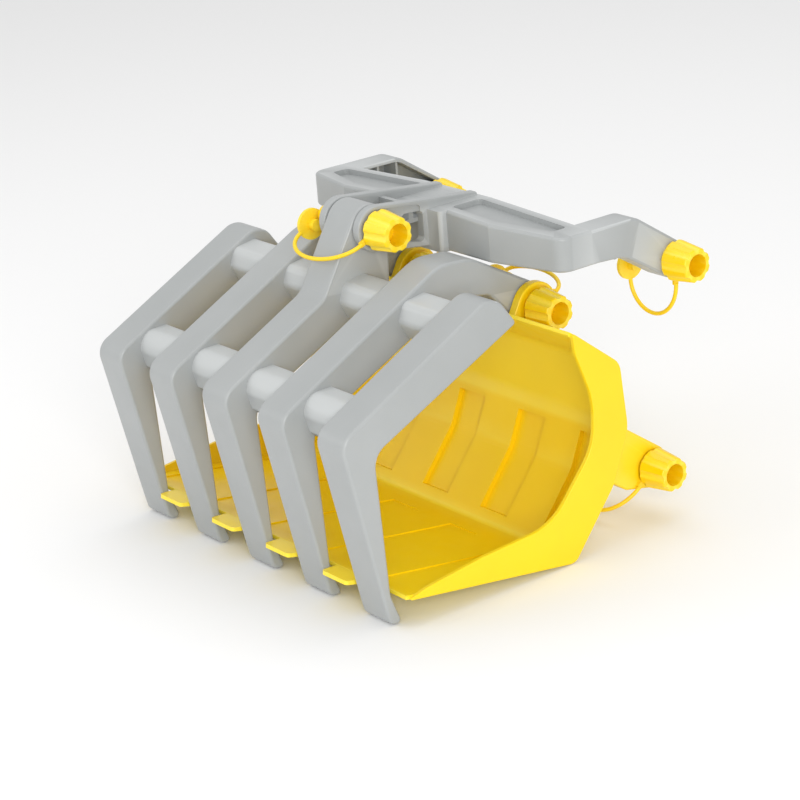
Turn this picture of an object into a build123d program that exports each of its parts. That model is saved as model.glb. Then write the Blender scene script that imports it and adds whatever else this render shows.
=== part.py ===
from build123d import *
import math
import os

# A toy grab bucket for the front loader of a pedal tractor: a yellow bucket, a grey five-finger
# clamp hinged on its ears, a grey yoke hinged on the clamp, and seven tethered pins.
# Millimetres. X runs across the fingers, -Y is the open front, +Z is up. The design frame has
# X = 0 on the middle finger, Y = 0 on the clamp's hinge line and Z = 0 on the floor.

# Driving dimensions
PITCH = 68.0                    # finger to finger
FINGER_W = 30.0                 # finger width along X
FINGER_COUNT = 5
EDGE_R = 2.2                    # rounding of moulded edges
CLAMP_PIVOT = (0.0, 167.0)      # (Y, Z) of the clamp's hinge line
YOKE_PIVOT = (-85.0, 232.0)     # (Y, Z) of the yoke's hinge line
ARM_PIN = (83.0, 192.0)         # (Y, Z) of the yoke arms' loader pins
BRACKET_PIN = (58.0, 40.0)      # (Y, Z) of the bucket brackets' loader pins
ARM_X = 134.0                   # middle of the yoke arms and the bucket brackets
BUCKET_HALF = 161.0             # inner faces of the side plates
WALL = 3.0                      # bucket wall
SHAFT_R = 7.0                   # pin shaft
SHAFT_BORE_R = 4.6              # hollow in the shaft
BORE_FIT = 0.06                 # radial play of a pin in its bore
SIDE_GAP = 1.5                  # play between an eye and the ears or fork beside it
EAR_T = 7.0                     # thickness of ears and fork plates
KNOB_LEN = 22.0
KNOB_BASE_R = 15.0
KNOB_TIP_R = 12.4
KNOB_LOBES = 8
LOBE_R = 2.6
RING_T = 2.0                    # tether ring under the knob
RING_GAP = 0.3
STRAP_R = 1.5
CAP_R = 11.5
CAP_T = 2.6
LONG_SHAFT = 58.0               # shaft of a pin through a clevis
SHORT_SHAFT = 44.0              # shaft of a pin through one lug

NOTCH_PLAY = 1.5
EAR_R = 18.0
EYE_R = 16.0                    # clamp eyes on the hinge line
LUG_R = 16.5                    # eye that carries the yoke
RIM_W = 2.5                     # raised rim of ears, lugs and fork cheeks
RECESS = 1.5                    # depth of the panel inside a rim
BOSS_W = 3.5                    # boss wall round a bore
BRACKET_R = 16.0
BRACKET_T = 12.0
ELBOW = (-221.4, 142.6)         # outer elbow corner of the fingers
LEG_LEAN = 0.2012               # dY/dZ of the lower leg
BEAM_RISE = 0.5086              # dZ/dY of the upper beam's outer edge
INNER_ELBOW = (-194.5, 126.7)
INNER_RISE = 0.479
TIP_Z = 3.5                     # finger tips and heel stand on the floor together
FORK_R = 16.5
FORK_IN = 16.5
FORK_OUT = 23.5
FORK_POCKET = 1.2
ARM_W = 22.0
ARM_EYE_R = 13.5
ARM_HOLLOW = 17.0
ARM_TOP = 231.0
ARM_SKIN = 3.0
ARM_RIBS = [28.0, 46.0]
RIB_T = 2.0
BEAM_LOW = 206.0
BEAM_TOP = 236.0
BEAM_FRONT = -34.0
BEAM_REAR = 8.0
BEAM_HALF = 145.0
BEAM_BEND = 84.0                # where the beam's front starts to sweep back
BEAM_END_FRONT = -19.0
BEAM_CORNER_R = 12.0
BLOCK_HALF = 38.0               # thicker middle of the beam, in front of the fork's root
BLOCK_FRONT = -40.0
PANEL = [(33, -25), (82, -25), (127, -12), (127, 1), (33, 1)]
PANEL_R = 3.5
PANEL_DEPTH = 4.0
FLUTE_R = 4.0
FLUTE_OUT = 2.4
KNOB_BORE_R = 8.2
KNOB_BORE_DEPTH = 16.0
SHAFT_BORE_DEPTH = 30.0
RING_R = 12.0
RING_PLAY = 0.4
TAB_END = 18.5                  # the ring's tab clears the knob's rim
TAB_LEN = 8.0
TAB_W = 4.0
CAP_PEG_R = 4.3
CAP_PEG = 6.0
CAP_AWAY = 3.5                  # from the shaft's end to the cap's far side
CAP_OFFSET = 12.2               # from the pin's axis to the cap's
CAP_RIM = 2.2
CAP_CROWN = 1.0
STRAP_LIFT = 0.15
STRAP_POINTS = 9

# Bucket outline in (Y, Z), outer faces, from the lip to the top edge
LIP = (-187.0, 24.0)
HEEL = (-39.0, 2.8)
KNEE = (0.0, 50.0)
WAIST = (16.0, 88.0)
SHOULDER = (11.0, 138.4)
TOP_EDGE = (-31.0, 171.4)
GROOVE_DEPTH = 4.0
FLOOR_GROOVE = 1.1
GROOVE_TOP_Z = 78.0
TOOTH_REACH = 16.0
TOOTH_TIP_W = 28.0
TOOTH_ROOT_W = 34.0

finger_x = [(k - 2) * PITCH for k in range(FINGER_COUNT)]
gap_x = [(k - 1.5) * PITCH for k in range(FINGER_COUNT - 1)]
parts = {}


# --- small helpers -------------------------------------------------------------------------

def unit(a, b):
    """Unit vector in the (Y, Z) plane from a to b."""
    length = math.dist(a, b)
    return ((b[0] - a[0]) / length, (b[1] - a[1]) / length)


def polar(centre, radius, degrees):
    """A point in the (Y, Z) plane, degrees counted from +Y towards +Z."""
    turn = math.radians(degrees)
    return (centre[0] + radius * math.cos(turn), centre[1] + radius * math.sin(turn))


def outline(points, radii):
    """A closed (Y, Z) outline whose corners are rounded by the radii, one for each point."""
    edges = []
    count = len(points)
    ends = []
    for i, (p, r) in enumerate(zip(points, radii)):
        back = unit(p, points[i - 1])
        ahead = unit(p, points[(i + 1) % count])
        if r <= 0:
            ends.append((p, p, None))
            continue
        cosine = back[0] * ahead[0] + back[1] * ahead[1]
        half = math.acos(max(-1.0, min(1.0, cosine))) / 2
        cut = r / math.tan(half)
        a = (p[0] + back[0] * cut, p[1] + back[1] * cut)
        b = (p[0] + ahead[0] * cut, p[1] + ahead[1] * cut)
        middle = unit((0, 0), (back[0] + ahead[0], back[1] + ahead[1]))
        reach = r / math.sin(half) - r
        ends.append((a, b, (p[0] + middle[0] * reach, p[1] + middle[1] * reach)))
    for i, (a, b, mid) in enumerate(ends):
        if mid is not None:
            edges.append(ThreePointArc(a, mid, b))
        following = ends[(i + 1) % count][0]
        if math.dist(b, following) > 1e-4:
            edges.append(Line(b, following))
    return make_face(edges)


def plate(face, x0, x1, edge_r=0.0):
    """The (Y, Z) face made solid from x0 to x1, its two rims rounded by edge_r."""
    solid = extrude(Plane.YZ.offset(x0) * face, amount=x1 - x0)
    if edge_r > 0:
        rims = solid.edges().filter_by(
            lambda e: abs(e.bounding_box().min.X - e.bounding_box().max.X) < 1e-5
        )
        solid = fillet(rims, edge_r)
    return solid


def rod(centre, radius, x0, x1):
    """A cylinder along X about the (Y, Z) centre."""
    disc = Plane.YZ.offset(x0) * Pos(*centre) * Circle(radius)
    return extrude(disc, amount=x1 - x0)


def box(x, y, z):
    """A box from three (low, high) ranges."""
    size = (x[1] - x[0], y[1] - y[0], z[1] - z[0])
    return Pos(sum(x) / 2, sum(y) / 2, sum(z) / 2) * Box(*size)


def offset_line(a, b, distance):
    """The line a-b moved to its left by the distance, in the (Y, Z) plane."""
    d = unit(a, b)
    return (
        (a[0] - d[1] * distance, a[1] + d[0] * distance),
        (b[0] - d[1] * distance, b[1] + d[0] * distance),
    )


def crossing(first, second):
    """Where two (Y, Z) lines, each given by two points, cross."""
    (ax, ay), (bx, by) = first
    (cx, cy), (dx, dy) = second
    den = (ax - bx) * (cy - dy) - (ay - by) * (cx - dx)
    m = ax * by - ay * bx
    n = cx * dy - cy * dx
    return ((m * (cx - dx) - (ax - bx) * n) / den, (m * (cy - dy) - (ay - by) * n) / den)


def inner_path(points, distance):
    """The open outline moved to its left by the distance, corners mitred."""
    lines = [offset_line(a, b, distance) for a, b in zip(points, points[1:])]
    moved = [lines[0][0]]
    moved += [crossing(a, b) for a, b in zip(lines, lines[1:])]
    moved.append(lines[-1][1])
    return moved


def round_end(before, after, centre, radius):
    """Corners of a clockwise outline that wraps the circle between two outside points."""

    def tangent(point, side):
        away = math.atan2(point[1] - centre[1], point[0] - centre[0])
        return away + side * math.acos(radius / math.dist(point, centre))

    start = tangent(before, -1)
    stop = tangent(after, 1)
    while stop > start:
        stop -= 2 * math.pi
    steps = max(2, math.ceil((start - stop) / math.radians(80)))
    step = (start - stop) / steps
    reach = radius / math.cos(step / 2)
    return [polar(centre, reach, math.degrees(start - step * (i + 0.5))) for i in range(steps)]


def eyed_outline(leading, centre, radius, trailing):
    """An outline of (Y, Z, rounding) points with a round end about the centre in its middle."""
    corners = round_end(leading[-1][:2], trailing[0][:2], centre, radius)
    whole = leading + [(y, z, radius) for y, z in corners] + trailing
    return outline([p[:2] for p in whole], [p[2] for p in whole])


# --- bucket --------------------------------------------------------------------------------

BUCKET_PATH = [LIP, HEEL, KNEE, WAIST, SHOULDER, TOP_EDGE]
BEND_RADII = [0.8, 9.0, 30.0, 30.0, 14.0, 0.8]
REAR = (-34.0, 60.0)


def wall_face(outer_shift, inner_shift):
    """The bent wall's section between two offsets of the bucket outline."""
    outer = inner_path(BUCKET_PATH, outer_shift)
    inner = inner_path(BUCKET_PATH, inner_shift)
    thickness = inner_shift - outer_shift
    inner_radii = [max(r - thickness, 0.8) for r in BEND_RADII]
    return outline(outer + inner[::-1], BEND_RADII + inner_radii[::-1])


def bucket_shell():
    """The bent wall, with a pressed groove and a shallow floor channel behind each finger."""
    shell = plate(wall_face(0, WALL), -BUCKET_HALF, BUCKET_HALF)
    half = FINGER_W / 2
    eye_half = half + SIDE_GAP
    for x in finger_x:
        wide = min(half + WALL, BUCKET_HALF - abs(x))
        swell = plate(wall_face(-GROOVE_DEPTH, 0.4), x - wide, x + wide)
        shell += swell & box((x - wide, x + wide), REAR, (9.0, GROOVE_TOP_Z + WALL))
        hollow = plate(wall_face(WALL - GROOVE_DEPTH, WALL + 0.5), x - half, x + half)
        shell -= hollow & box((x - half, x + half), REAR, (12.0, GROOVE_TOP_Z))
        channel = plate(wall_face(WALL - FLOOR_GROOVE, WALL + 0.5), x - half, x + half)
        shell -= channel & box((x - half, x + half), (-176.0, -62.0), (0, 40))
    notch = eyed_outline([(-50.0, 220.0, 0)], CLAMP_PIVOT, EYE_R + NOTCH_PLAY, [(-38.0, 181.0, 0)])
    for x in (-PITCH, PITCH):
        shell -= plate(notch, x - eye_half, x + eye_half)
    return shell


def side_plate(sign):
    """A flat cheek whose free edge sweeps from the lip round to the top edge."""
    free = [(-171, 28.5), (-121, 34.5), (-58, 38), (-17, 84), (-15, 118), (-29.5, 156)]
    free_radii = [40, 100, 46, 40, 60, 30]
    x0, x1 = BUCKET_HALF, BUCKET_HALF + WALL
    if sign < 0:
        x0, x1 = -x1, -x0
    face = outline(BUCKET_PATH + free[::-1], BEND_RADII[:-1] + [1.5] + free_radii[::-1])
    cheek = plate(face, x0, x1)
    rim = cheek.faces().sort_by(Axis.X)[-1 if sign > 0 else 0].edges()
    return fillet(rim, 0.7)


def front_teeth():
    """Four flat teeth that carry the floor on between the fingers."""
    ahead = unit(HEEL, LIP)
    plane = Plane(origin=(0, LIP[0], LIP[1]), x_dir=(1, 0, 0), z_dir=(0, ahead[1], -ahead[0]))
    forward = 1.0 if plane.y_dir.Y < 0 else -1.0
    teeth = []
    for x in gap_x:
        root, tip = TOOTH_ROOT_W / 2, TOOTH_TIP_W / 2
        rim = [(x - root, 0), (x - tip, TOOTH_REACH), (x + tip, TOOTH_REACH), (x + root, 0)]
        face = make_face(Polyline(*[(a, b * forward) for a, b in rim], close=True))
        tooth = extrude(plane * face, amount=WALL)
        corners = tooth.edges().filter_by(
            lambda e: e.center().Y < LIP[0] - TOOTH_REACH / 2 and e.length < WALL + 0.1
        )
        teeth.append(fillet(corners, 3.0))
    return Compound(children=teeth)


def ear(x0, x1, outward):
    """A round ear standing on the top panel, with a raised rim and boss on its outer side."""
    along = unit(SHOULDER, TOP_EDGE)
    low = (SHOULDER[0] + along[0] * 7, SHOULDER[1] + along[1] * 7)
    high = (SHOULDER[0] + along[0] * 42, SHOULDER[1] + along[1] * 42)
    body = plate(eyed_outline([(*high, 0)], CLAMP_PIVOT, EAR_R, [(*low, 0)]), x0, x1, 0.8)
    face_x = x1 if outward > 0 else x0
    dish = sorted((face_x - outward * RECESS, face_x + outward))
    body -= rod(CLAMP_PIVOT, EAR_R - RIM_W, *dish)
    body += rod(CLAMP_PIVOT, SHAFT_R + BOSS_W, x0, x1)
    return body - rod(CLAMP_PIVOT, SHAFT_R + BORE_FIT, x0 - 1, x1 + 1)


def rear_bracket(sign, shell):
    """A thick lug behind the back wall that takes one loader pin."""
    x0, x1 = sign * ARM_X - BRACKET_T / 2, sign * ARM_X + BRACKET_T / 2
    face = eyed_outline(
        [(-1.5, 52.0, 0), (13.0, 89.0, 0), (17.0, 89.0, 0)],
        BRACKET_PIN, BRACKET_R,
        [(33.0, 29.0, 9), (4.0, 50.0, 0)],
    )
    lug = plate(face, x0, x1, 1.5)
    for a, b in ((x0 - 1, x0 + RECESS), (x1 - RECESS, x1 + 1)):
        lug -= rod(BRACKET_PIN, BRACKET_R - RIM_W, a, b)
    lug += rod(BRACKET_PIN, SHAFT_R + BOSS_W, x0, x1)
    lug -= rod(BRACKET_PIN, SHAFT_R + BORE_FIT, x0 - 1, x1 + 1)
    return lug - shell


# --- clamp ---------------------------------------------------------------------------------

def finger_run():
    """The shared lower part of a finger: from its tip round the elbow to the upper beam."""
    return [
        (-183.0, TIP_Z, 2.6), (-193.0, TIP_Z, 6.0),
        (ELBOW[0] + (ELBOW[1] - 17.0) * LEG_LEAN, 17.0, 20.0),
        (ELBOW[0], ELBOW[1], 13.0),
    ]


def finger_return():
    """The inner edge of a finger, from the upper beam down to the tip."""
    return [(*INNER_ELBOW, 15.0), (-190.8, 25.0, 20.0)]


def on_beam(y):
    """A point of the upper beam's outer edge."""
    return (y, ELBOW[1] + (y - ELBOW[0]) * BEAM_RISE)


def under_beam(y):
    """A point of the upper beam's inner edge."""
    return (y, INNER_ELBOW[1] + (y - INNER_ELBOW[0]) * INNER_RISE)


def outer_finger(x):
    """An end finger: its upper beam closes in a rounded leaf."""
    whole = finger_run() + [(*on_beam(-86.0), 17.0), (-68.0, 185.5, 2.5)] + finger_return()
    return plate(
        outline([p[:2] for p in whole], [p[2] for p in whole]),
        x - FINGER_W / 2, x + FINGER_W / 2, EDGE_R,
    )


def pivot_finger(x):
    """A finger that arches back to an eye on the clamp's hinge line."""
    face = eyed_outline(
        finger_run() + [(*on_beam(-78.0), 34.0), (-50.0, 213.5, 26.0)],
        CLAMP_PIVOT, EYE_R,
        [(-35.0, 182.5, 8.0), (*under_beam(-66.0), 16.0)] + finger_return(),
    )
    finger = plate(face, x - FINGER_W / 2, x + FINGER_W / 2, EDGE_R)
    return finger - rod(CLAMP_PIVOT, SHAFT_R + BORE_FIT, x - FINGER_W, x + FINGER_W)


def lug_finger(x):
    """The middle finger: its beam turns up into the eye that carries the yoke."""
    face = eyed_outline(
        finger_run() + [(*on_beam(-130.0), 16.0)],
        YOKE_PIVOT, LUG_R,
        [(-71.0, 186.0, 6.0)] + finger_return(),
    )
    finger = plate(face, x - FINGER_W / 2, x + FINGER_W / 2, EDGE_R)
    return finger - rod(YOKE_PIVOT, SHAFT_R, x - FINGER_W, x + FINGER_W)


def crossbars(corners, fingers):
    """One row of hollow-looking bars between neighbouring fingers."""
    bars = []
    for x in gap_x:
        half = (PITCH - FINGER_W) / 2 + EDGE_R
        bar = plate(outline([p[:2] for p in corners], [p[2] for p in corners]), x - half, x + half)
        for finger in fingers:
            bar -= finger
        bars += bar.solids()
    return Compound(children=bars)


# --- yoke ----------------------------------------------------------------------------------

def beam_section(drop):
    """The yoke beam's front view carried through Y, its sloped top lowered by the drop."""
    rim = [
        (-BEAM_HALF, BEAM_LOW), (BEAM_HALF, BEAM_LOW), (BEAM_HALF, ARM_TOP - drop),
        (BLOCK_HALF, BEAM_TOP - drop), (-BLOCK_HALF, BEAM_TOP - drop), (-BEAM_HALF, ARM_TOP - drop),
    ]
    face = Plane.XZ.offset(-60) * make_face(Polyline(*rim, close=True))
    return extrude(face, amount=120)


def yoke_beam():
    """The cross beam, its ends swept back, with a sunk panel in its top each side of the fork."""
    plan = [
        (-BEAM_HALF, BEAM_END_FRONT), (-BEAM_BEND, BEAM_FRONT), (BEAM_BEND, BEAM_FRONT),
        (BEAM_HALF, BEAM_END_FRONT), (BEAM_HALF, BEAM_REAR), (-BEAM_HALF, BEAM_REAR),
    ]
    beam = extrude(Pos(0, 0, 180) * make_face(Polyline(*plan, close=True)), amount=80)
    beam = beam & beam_section(0)
    corners = beam.edges().filter_by(Axis.Z).filter_by(
        lambda e: abs(e.center().X) > BEAM_HALF - 1 and e.center().Y < 0
    )
    beam = fillet(corners, BEAM_CORNER_R)
    rims = beam.edges().filter_by(
        lambda e: abs(e.tangent_at(0.5).Z) < 0.5
        and e.center().Y < BEAM_REAR - 1
        and not (abs(e.tangent_at(0.5).Y) > 0.9 and abs(e.center().X) < BEAM_BEND)
    )
    beam = fillet(rims, EDGE_R)
    for sign in (-1, 1):
        rim = [(sign * x, y) for x, y in PANEL]
        panel = extrude(Pos(0, 0, 200) * make_face(Polyline(*rim, close=True)), amount=60)
        panel = fillet(panel.edges().filter_by(Axis.Z), PANEL_R)
        beam -= panel - beam_section(PANEL_DEPTH)
    return beam


def yoke_arm(sign):
    """An arm that runs back from the beam and droops to its loader eye; open on its inner side."""
    x0, x1 = ARM_X - ARM_W / 2, ARM_X + ARM_W / 2
    leading = [(-4.0, BEAM_LOW, 0), (-4.0, ARM_TOP, 0), (49.0, ARM_TOP, 18.0)]
    trailing = [(38.0, BEAM_LOW - 1.5, 24.0), (14.0, BEAM_LOW, 20.0)]
    arm = plate(eyed_outline(leading, ARM_PIN, ARM_EYE_R, trailing), x0, x1, EDGE_R)
    hollow = eyed_outline(
        [(BEAM_REAR + 4, BEAM_LOW + ARM_SKIN, 2), (BEAM_REAR + 4, ARM_TOP - ARM_SKIN, 2),
         (47.5, ARM_TOP - ARM_SKIN, 15)],
        ARM_PIN, ARM_EYE_R - ARM_SKIN,
        [(38.0, BEAM_LOW - 1.5 + ARM_SKIN, 24)],
    )
    arm -= plate(hollow, x0 - 1, x0 + ARM_HOLLOW)
    arm += rod(ARM_PIN, SHAFT_R + BOSS_W, x0, x1 - 1)
    for y in ARM_RIBS:
        rib = box((x0 + 2, x1 - 1), (y, y + RIB_T), (BEAM_LOW - 10, ARM_TOP - 1))
        arm += rib & plate(eyed_outline(leading, ARM_PIN, ARM_EYE_R, trailing), x0 + 2, x1 - 1)
    arm -= box((0, 200), (-50, BEAM_REAR), (150, 260))
    arm -= rod(ARM_PIN, SHAFT_R + BORE_FIT, 0, 200)
    return mirror(arm, Plane.YZ) if sign < 0 else arm


def yoke_fork(beam):
    """Two cheeks either side of the lug, their rails laid over the beam, with a cross rib."""
    rail_end = BEAM_REAR - 1
    cheek_face = eyed_outline(
        [(-30.0, BEAM_LOW + 1, 0)], YOKE_PIVOT, FORK_R,
        [(rail_end, BEAM_TOP + 2.5, 2.5), (rail_end, BEAM_TOP - 6, 0), (-30.0, BEAM_TOP - 6, 0)],
    )
    pocket_face = eyed_outline(
        [(-46.0, BEAM_LOW + 9, 3)], YOKE_PIVOT, FORK_R - RIM_W, [(-46.0, BEAM_TOP + 5, 3)],
    )
    window_face = outline([(-62, 217), (-62, 237), (-44, 236), (-44, 213)], [3, 3, 3, 3])
    fork = box((-BLOCK_HALF, BLOCK_HALF), (BLOCK_FRONT, -30), (BEAM_LOW, BEAM_TOP))
    fork = fillet(fork.edges().filter_by(Axis.Z).group_by(Axis.Y)[0], 3.0)
    for sign in (-1, 1):
        x0, x1 = sorted((sign * FORK_IN, sign * FORK_OUT))
        cheek = plate(cheek_face, x0, x1, 1.2)
        outer = sorted((sign * (FORK_OUT - FORK_POCKET), sign * (FORK_OUT + 1)))
        cheek -= plate(pocket_face, *outer)
        cheek -= plate(window_face, x0 - 1, x1 + 1)
        fork += cheek
        fork += rod(YOKE_PIVOT, SHAFT_R + BOSS_W, x0, x1)
    fork += box((-FORK_IN - 1, FORK_IN + 1), (-62, BLOCK_FRONT + 1), (BEAM_TOP - 9, BEAM_TOP - 6))
    fork += box((-FORK_IN - 1, FORK_IN + 1), (-52, -48), (BEAM_TOP - 9, BEAM_TOP + 5))
    fork -= rod(YOKE_PIVOT, SHAFT_R + BORE_FIT, -60, 60)
    return fork - beam


# --- pins and tethers ----------------------------------------------------------------------

def pin(centre, face_x, shaft):
    """A loader pin: fluted knob on the +X side of the face, hollow shaft running towards -X."""
    base = face_x + RING_T + (0 if centre == YOKE_PIVOT else RING_GAP)
    profile = [
        (base, 0), (base, KNOB_BASE_R), (base + KNOB_LEN, KNOB_TIP_R), (base + KNOB_LEN, 0),
    ]
    knob = revolve(make_face(Polyline(*profile, close=True)), Axis.X)
    rims = knob.edges().filter_by(GeomType.CIRCLE)
    knob = fillet(rims, 1.2)
    lean = math.degrees(math.atan((KNOB_BASE_R - KNOB_TIP_R) / KNOB_LEN))
    flute = Pos(base + KNOB_LEN / 2, (KNOB_BASE_R + KNOB_TIP_R) / 2 + FLUTE_OUT, 0)
    flute = flute * Rot(0, 0, -lean) * Rot(0, 90, 0) * Cylinder(FLUTE_R, KNOB_LEN + 8)
    for i in range(KNOB_LOBES):
        knob -= Rot(360 / KNOB_LOBES * i, 0, 0) * flute
    knob -= rod((0, 0), KNOB_BORE_R, base + KNOB_LEN - KNOB_BORE_DEPTH, base + KNOB_LEN + 1)
    stem = rod((0, 0), SHAFT_R, face_x - shaft, base)
    stem = chamfer(stem.faces().sort_by(Axis.X)[0].edges(), 0.8)
    stem -= rod((0, 0), SHAFT_BORE_R, face_x - shaft - 1, face_x - shaft + SHAFT_BORE_DEPTH)
    return Pos(0, *centre) * (knob + stem)


def tether(centre, face_x, far_x, turn, reach):
    """A moulded keeper: ring under the knob, an arched strap, and a plug cap past the shaft end."""
    ring = rod(centre, RING_R, face_x, face_x + RING_T)
    tab = Pos(face_x + RING_T / 2, TAB_END - TAB_LEN / 2, 0) * Box(RING_T, TAB_LEN, TAB_W)
    ring += Pos(0, *centre) * Rot(turn, 0, 0) * tab
    cap_x = far_x - CAP_AWAY
    cap_centre = polar(centre, CAP_OFFSET, turn)
    start_x, start_r = face_x + STRAP_R + STRAP_LIFT, TAB_END - 1
    end_x, end_r = cap_x + CAP_T / 2, CAP_OFFSET + CAP_R - 1
    points = []
    for k in range(STRAP_POINTS):
        turned = math.pi * k / (STRAP_POINTS - 1)
        x = (start_x + end_x) / 2 + (start_x - end_x) / 2 * math.cos(turned)
        base = start_r + (end_r - start_r) * k / (STRAP_POINTS - 1)
        bulge = (reach - (start_r + end_r) / 2) * math.sin(turned)
        points.append((x, *polar(centre, base + bulge, turn)))
    path = Spline(*points)
    strap = sweep(Plane(origin=path @ 0, z_dir=path % 0) * Circle(STRAP_R), path=path)
    cap = rod(cap_centre, CAP_R, cap_x, cap_x + CAP_T)
    cap += rod(cap_centre, CAP_R - CAP_RIM, cap_x - CAP_CROWN, cap_x + 1)
    cap += rod(cap_centre, CAP_PEG_R, cap_x, cap_x + CAP_T + CAP_PEG)
    whole = ring + strap + cap
    return whole - rod(centre, SHAFT_R + RING_PLAY, face_x - 5, face_x + RING_T + 5)


# Crossbar sections: (Y, Z, rounding)
ELBOW_BAR = [(-175, 154.5, 3), (-205, 154.5, 13), (-193, 108, 3), (-192.5, 128, 10), (-175, 141, 3)]
UPPER_BAR = [(-90, 200.5, 4), (-112, 197, 8), (-117, 184, 6), (-109, 169.5, 3), (-90, 179, 4)]

# Pins: name, (Y, Z) of the axis, face under the ring, shaft length from that face
PINS = [
    ("lug", YOKE_PIVOT, FORK_OUT + RING_GAP, LONG_SHAFT + 4),
    ("ear_right", CLAMP_PIVOT, PITCH + 23.5, LONG_SHAFT),
    ("ear_left", CLAMP_PIVOT, -PITCH + 23.5, LONG_SHAFT),
    ("arm_right", ARM_PIN, ARM_X + ARM_W / 2, SHORT_SHAFT),
    ("arm_left", ARM_PIN, -ARM_X + ARM_W / 2, SHORT_SHAFT),
    ("bracket_right", BRACKET_PIN, ARM_X + BRACKET_T / 2, SHORT_SHAFT),
    ("bracket_left", BRACKET_PIN, -ARM_X + BRACKET_T / 2, SHORT_SHAFT),
]


# Tethers: name, pin axis, face under the ring, shaft end, direction of the strap in degrees from
# +Y towards +Z, and how far the strap reaches from the axis
TETHERS = [
    ("lug", YOKE_PIVOT, FORK_OUT + RING_GAP, FORK_OUT - LONG_SHAFT - 4, 205, 42),
    ("ear_right", CLAMP_PIVOT, PITCH + 23.5, PITCH + 23.5 - LONG_SHAFT, 24, 34),
    ("ear_left", CLAMP_PIVOT, -PITCH + 23.5, -PITCH + 23.5 - LONG_SHAFT, 24, 34),
    ("arm_right", ARM_PIN, ARM_X + ARM_W / 2, ARM_X + ARM_W / 2 - SHORT_SHAFT, 270, 45),
    ("arm_left", ARM_PIN, -ARM_X + ARM_W / 2, -ARM_X + ARM_W / 2 - SHORT_SHAFT, 270, 45),
    ("bracket_right", BRACKET_PIN, ARM_X + BRACKET_T / 2, ARM_X + BRACKET_T / 2 - SHORT_SHAFT, 218, 46),
    ("bracket_left", BRACKET_PIN, -ARM_X + BRACKET_T / 2, -ARM_X + BRACKET_T / 2 - SHORT_SHAFT, 218, 46),
]


# --- assembly ------------------------------------------------------------------------------

def largest(shape):
    """The largest solid of a shape."""
    return shape.solids().sort_by(lambda s: s.volume)[-1]


shell = bucket_shell()
parts["bucket_shell"] = shell
parts["side_plate_right"] = side_plate(1)
parts["side_plate_left"] = side_plate(-1)
parts["front_teeth"] = front_teeth()
for side, x in (("right", PITCH), ("left", -PITCH)):
    inner, outer = FINGER_W / 2 + SIDE_GAP, FINGER_W / 2 + SIDE_GAP + EAR_T
    pair = [ear(x - outer, x - inner, -1), ear(x + inner, x + outer, 1)]
    parts["pivot_ears_" + side] = Compound(children=pair)
parts["rear_bracket_right"] = largest(rear_bracket(1, shell))
parts["rear_bracket_left"] = largest(rear_bracket(-1, shell))

fingers = [
    outer_finger(finger_x[0]), pivot_finger(finger_x[1]), lug_finger(finger_x[2]),
    pivot_finger(finger_x[3]), outer_finger(finger_x[4]),
]
for number, finger in enumerate(fingers, 1):
    parts["finger_" + str(number)] = finger
parts["elbow_crossbars"] = crossbars(ELBOW_BAR, fingers)
parts["upper_crossbars"] = crossbars(UPPER_BAR, fingers)

beam = yoke_beam()
parts["yoke_beam"] = beam
parts["yoke_fork"] = yoke_fork(beam)
parts["yoke_arm_right"] = yoke_arm(1)
parts["yoke_arm_left"] = yoke_arm(-1)

for name, centre, face_x, shaft in PINS:
    parts["pin_" + name] = pin(centre, face_x, shaft)
for name, centre, face_x, far_x, turn, reach in TETHERS:
    parts["tether_" + name] = tether(centre, face_x, far_x, turn, reach)

whole = Compound(children=[part.moved(Location((0, 0, 0))) for part in parts.values()])
bounds = whole.bounding_box()
shift = Pos(-bounds.center().X, -bounds.center().Y, -bounds.min.Z)
os.makedirs("parts", exist_ok=True)
for name, part in parts.items():
    export_step(shift * part, "parts/" + name + ".step")
print("size", bounds.size, "shift", shift.position)
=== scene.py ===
import math

import bpy
from mathutils import Matrix, Vector

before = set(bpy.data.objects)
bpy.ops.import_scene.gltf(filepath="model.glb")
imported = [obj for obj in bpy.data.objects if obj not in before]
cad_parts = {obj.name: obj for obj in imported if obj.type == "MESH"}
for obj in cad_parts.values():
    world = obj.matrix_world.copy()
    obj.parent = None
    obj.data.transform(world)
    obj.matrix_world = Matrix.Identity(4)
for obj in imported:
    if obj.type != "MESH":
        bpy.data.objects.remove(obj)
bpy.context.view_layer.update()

# The looks of a toy grab bucket: semi-gloss moulded plastics, a softer plastic for the tethers,
# and a plain pale studio. Metres, in the CAD's frame.

# The camera of the reference view: where it looks from, how it is turned, and its lens
VIEW_AZ = math.radians(53.39)
VIEW_EL = math.radians(20.01)
VIEW_ROLL = math.radians(-4.51)
VIEW_FROM = Vector((1.4169, -1.0393, 0.7285))
LENS_MM = 114.76
SENSOR_MM = 36
LENS_SHIFT = (-0.0125, -0.00375)
CLIP_END = 20

# Moulded plastic: noise scales per metre, and how far the surface varies
MOTTLE_SCALE = 9.0
SCUFF_SCALE = 60.0
MORE_GLOSS = 0.05
LESS_GLOSS = 0.08
EDGE_FROM = 0.52                # pointiness where the painted edge highlight starts
EDGE_TO = 0.62
EDGE_HIGHLIGHT = 0.55                # share of the pale painted highlight colour on a sharp edge
SKIN_DEPTH = 0.0002
GLOW_DEPTH = 0.004
GLOW_SPREAD = (1.0, 0.6, 0.15)

# Sockets of a colour mix node, which share their names
MIX_FACTOR = 0
MIX_FROM = 6
MIX_TO = 7
MIX_RESULT = 2

# Studio
WORLD_LIGHT = 0.78
FLOOR_SIZE = 60
FLOOR_GAP = 0.0006              # keeps the floor clear of the faces that stand on it
FLOOR_GREY = 0.90
LIGHTS_AIM = Vector((0, 0, 0.12))
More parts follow.
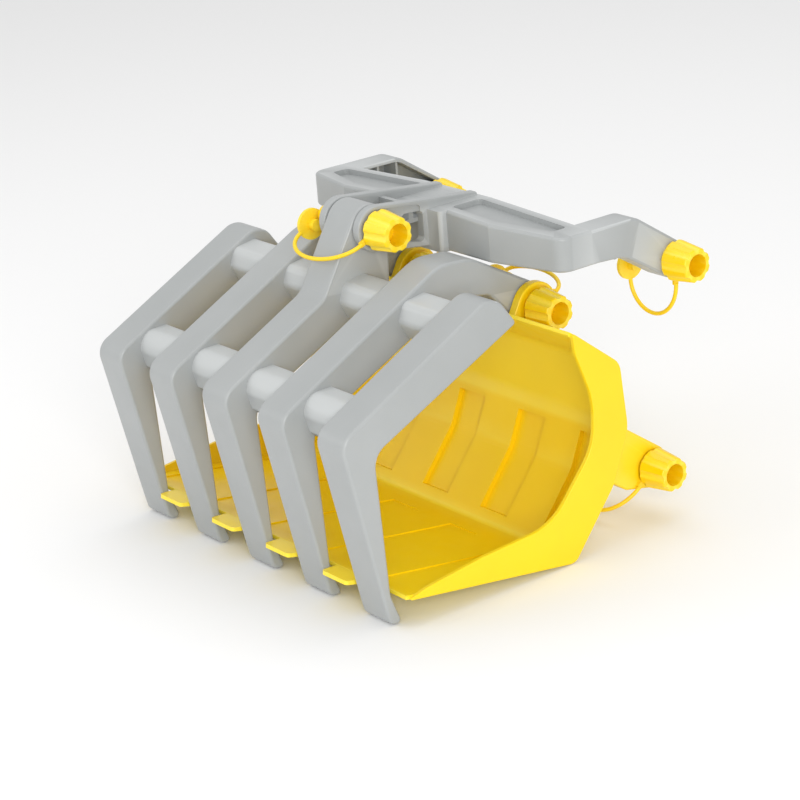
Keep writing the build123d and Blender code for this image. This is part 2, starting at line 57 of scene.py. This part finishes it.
# Area lights: name, place, size, power, colour
LIGHTS = [
    ("key", (1.8, -1.1, 0.8), 0.8, 22.0, (1.0, 0.995, 0.98)),
    ("top", (-0.2, 0.3, 1.9), 1.8, 9.0, (1.0, 1.0, 1.0)),
    ("front", (-1.0, -1.6, 1.0), 0.9, 5.0, (0.98, 0.99, 1.0)),
]


# --- camera ------------------------------------------------------------------------------------

def place_camera():
    """The camera at the reference viewing angle."""
    toward = Vector((
        math.sin(VIEW_AZ) * math.cos(VIEW_EL),
        -math.cos(VIEW_AZ) * math.cos(VIEW_EL),
        math.sin(VIEW_EL),
    ))
    right = Vector((math.cos(VIEW_AZ), math.sin(VIEW_AZ), 0))
    up = toward.cross(right)
    cos_roll = math.cos(VIEW_ROLL)
    sin_roll = math.sin(VIEW_ROLL)
    across = right * cos_roll + up * sin_roll
    upward = up * cos_roll - right * sin_roll
    data = bpy.data.cameras.new("camera")
    data.lens = LENS_MM
    data.sensor_width = SENSOR_MM
    data.shift_x, data.shift_y = LENS_SHIFT
    data.clip_end = CLIP_END
    camera = bpy.data.objects.new("camera", data)
    turn = Matrix((across, upward, toward)).transposed().to_4x4()
    camera.matrix_world = Matrix.Translation(VIEW_FROM) @ turn
    bpy.context.collection.objects.link(camera)
    bpy.context.scene.camera = camera


# --- materials ---------------------------------------------------------------------------------

def node(tree, kind, **values):
    """A new shader node with its properties and sockets set by name."""
    made = tree.nodes.new(kind)
    for name, value in values.items():
        if hasattr(made, name):
            setattr(made, name, value)
        else:
            made.inputs[name.replace("_", " ")].default_value = value
    return made


def mottled_colour(tree, place, deep, base, pale):
    """Colour that drifts between deep and base, with a painted highlight that turns sharp edges
    pale.
    """
    link = tree.links.new
    flow = node(tree, "ShaderNodeTexNoise", Scale=MOTTLE_SCALE, Detail=4.0, Roughness=0.55)
    link(place, flow.inputs["Vector"])
    tint = node(tree, "ShaderNodeValToRGB")
    low, high = tint.color_ramp.elements
    low.position = 0.3
    low.color = (*deep, 1)
    high.position = 0.7
    high.color = (*base, 1)
    link(flow.outputs["Fac"], tint.inputs["Fac"])
    # Painted highlight: sharp convex edges are mixed towards the pale colour by pointiness,
    # standing in for the glints of glossy rounded edges
    edge = node(tree, "ShaderNodeNewGeometry")
    painted_highlight = node(tree, "ShaderNodeMapRange", From_Min=EDGE_FROM, From_Max=EDGE_TO, To_Max=EDGE_HIGHLIGHT)
    link(edge.outputs["Pointiness"], painted_highlight.inputs["Value"])
    mix = node(tree, "ShaderNodeMix", data_type="RGBA")
    mix.inputs[MIX_TO].default_value = (*pale, 1)
    link(painted_highlight.outputs["Result"], mix.inputs[MIX_FACTOR])
    link(tint.outputs["Color"], mix.inputs[MIX_FROM])
    return mix.outputs[MIX_RESULT]


def uneven_gloss(tree, place, roughness):
    """Roughness that varies a little from handling."""
    scuff = node(tree, "ShaderNodeTexNoise", Scale=SCUFF_SCALE, Detail=6.0, Roughness=0.6)
    tree.links.new(place, scuff.inputs["Vector"])
    gloss = node(
        tree, "ShaderNodeMapRange", From_Min=0.3, From_Max=0.7,
        To_Min=roughness - MORE_GLOSS, To_Max=roughness + LESS_GLOSS,
    )
    tree.links.new(scuff.outputs["Fac"], gloss.inputs["Value"])
    return gloss.outputs["Result"]


def fine_skin(tree, place, grain, bump):
    """The fine grain that a mould leaves."""
    skin = node(tree, "ShaderNodeTexNoise", Scale=grain, Detail=2.0)
    tree.links.new(place, skin.inputs["Vector"])
    raised = node(tree, "ShaderNodeBump", Strength=bump, Distance=SKIN_DEPTH)
    tree.links.new(skin.outputs["Fac"], raised.inputs["Height"])
    return raised.outputs["Normal"]


def plastic(name, deep, base, pale, roughness, grain, bump, subsurface=0.0):
    """Moulded plastic: mottled colour, uneven gloss, a fine skin, and pale painted highlights on
    sharp edges.
    """
    material = bpy.data.materials.new(name)
    material.use_nodes = True
    tree = material.node_tree
    link = tree.links.new
    shader = tree.nodes["Principled BSDF"]
    place = node(tree, "ShaderNodeTexCoord").outputs["Object"]
    link(mottled_colour(tree, place, deep, base, pale), shader.inputs["Base Color"])
    link(uneven_gloss(tree, place, roughness), shader.inputs["Roughness"])
    link(fine_skin(tree, place, grain, bump), shader.inputs["Normal"])
    shader.inputs["Subsurface Weight"].default_value = subsurface
    shader.inputs["Subsurface Scale"].default_value = GLOW_DEPTH
    shader.inputs["Subsurface Radius"].default_value = GLOW_SPREAD
    return material


def dress():
    """Gives every CAD node its plastic."""
    # Each pale colour below is the painted highlight colour for sharp edges
    grey = plastic(
        "grey_plastic", deep=(0.34, 0.355, 0.355), base=(0.385, 0.40, 0.40),
        pale=(0.62, 0.64, 0.64), roughness=0.33, grain=900.0, bump=0.12,
    )
    yellow = plastic(
        "bucket_plastic", deep=(0.92, 0.62, 0.001), base=(0.97, 0.69, 0.002),
        pale=(1.0, 0.84, 0.08), roughness=0.34, grain=900.0, bump=0.10, subsurface=0.05,
    )
    knob = plastic(
        "pin_plastic", deep=(0.93, 0.62, 0.001), base=(0.97, 0.69, 0.003),
        pale=(1.0, 0.84, 0.10), roughness=0.30, grain=1200.0, bump=0.10, subsurface=0.06,
    )
    soft = plastic(
        "tether_plastic", deep=(0.90, 0.60, 0.010), base=(0.95, 0.67, 0.015),
        pale=(1.0, 0.80, 0.10), roughness=0.45, grain=1400.0, bump=0.15, subsurface=0.08,
    )
    for name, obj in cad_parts.items():
        if name.startswith("pin_"):
            chosen = knob
        elif name.startswith("tether_"):
            chosen = soft
        elif name.startswith(("finger", "yoke", "elbow", "upper")):
            chosen = grey
        else:
            chosen = yellow
        obj.data.materials.clear()
        obj.data.materials.append(chosen)


# --- studio ------------------------------------------------------------------------------------

def light_world():
    """Even white light from all round."""
    scene = bpy.context.scene
    world = bpy.data.worlds.new("studio")
    scene.world = world
    world.use_nodes = True
    background = world.node_tree.nodes["Background"]
    background.inputs["Color"].default_value = (1.0, 1.0, 1.0, 1)
    background.inputs["Strength"].default_value = WORLD_LIGHT
    scene.view_settings.view_transform = "Standard"


def lay_floor():
    """A wide pale floor just under the part."""
    bpy.ops.mesh.primitive_plane_add(size=FLOOR_SIZE, location=(0, 0, -FLOOR_GAP))
    floor = bpy.context.object
    floor.name = "floor"
    paper = bpy.data.materials.new("paper")
    paper.use_nodes = True
    shader = paper.node_tree.nodes["Principled BSDF"]
    shader.inputs["Base Color"].default_value = (FLOOR_GREY, FLOOR_GREY, FLOOR_GREY, 1)
    shader.inputs["Roughness"].default_value = 0.9
    shader.inputs["Specular IOR Level"].default_value = 0.1
    floor.data.materials.append(paper)


def hang_lights():
    """Soft area lights that point at the part."""
    for label, spot, size, power, colour in LIGHTS:
        data = bpy.data.lights.new(label, "AREA")
        data.size = size
        data.energy = power
        data.color = colour
        lamp = bpy.data.objects.new(label, data)
        lamp.location = spot
        aim = LIGHTS_AIM - Vector(spot)
        lamp.rotation_euler = aim.to_track_quat("-Z", "Y").to_euler()
        bpy.context.collection.objects.link(lamp)


place_camera()
dress()
light_world()
lay_floor()
hang_lights()
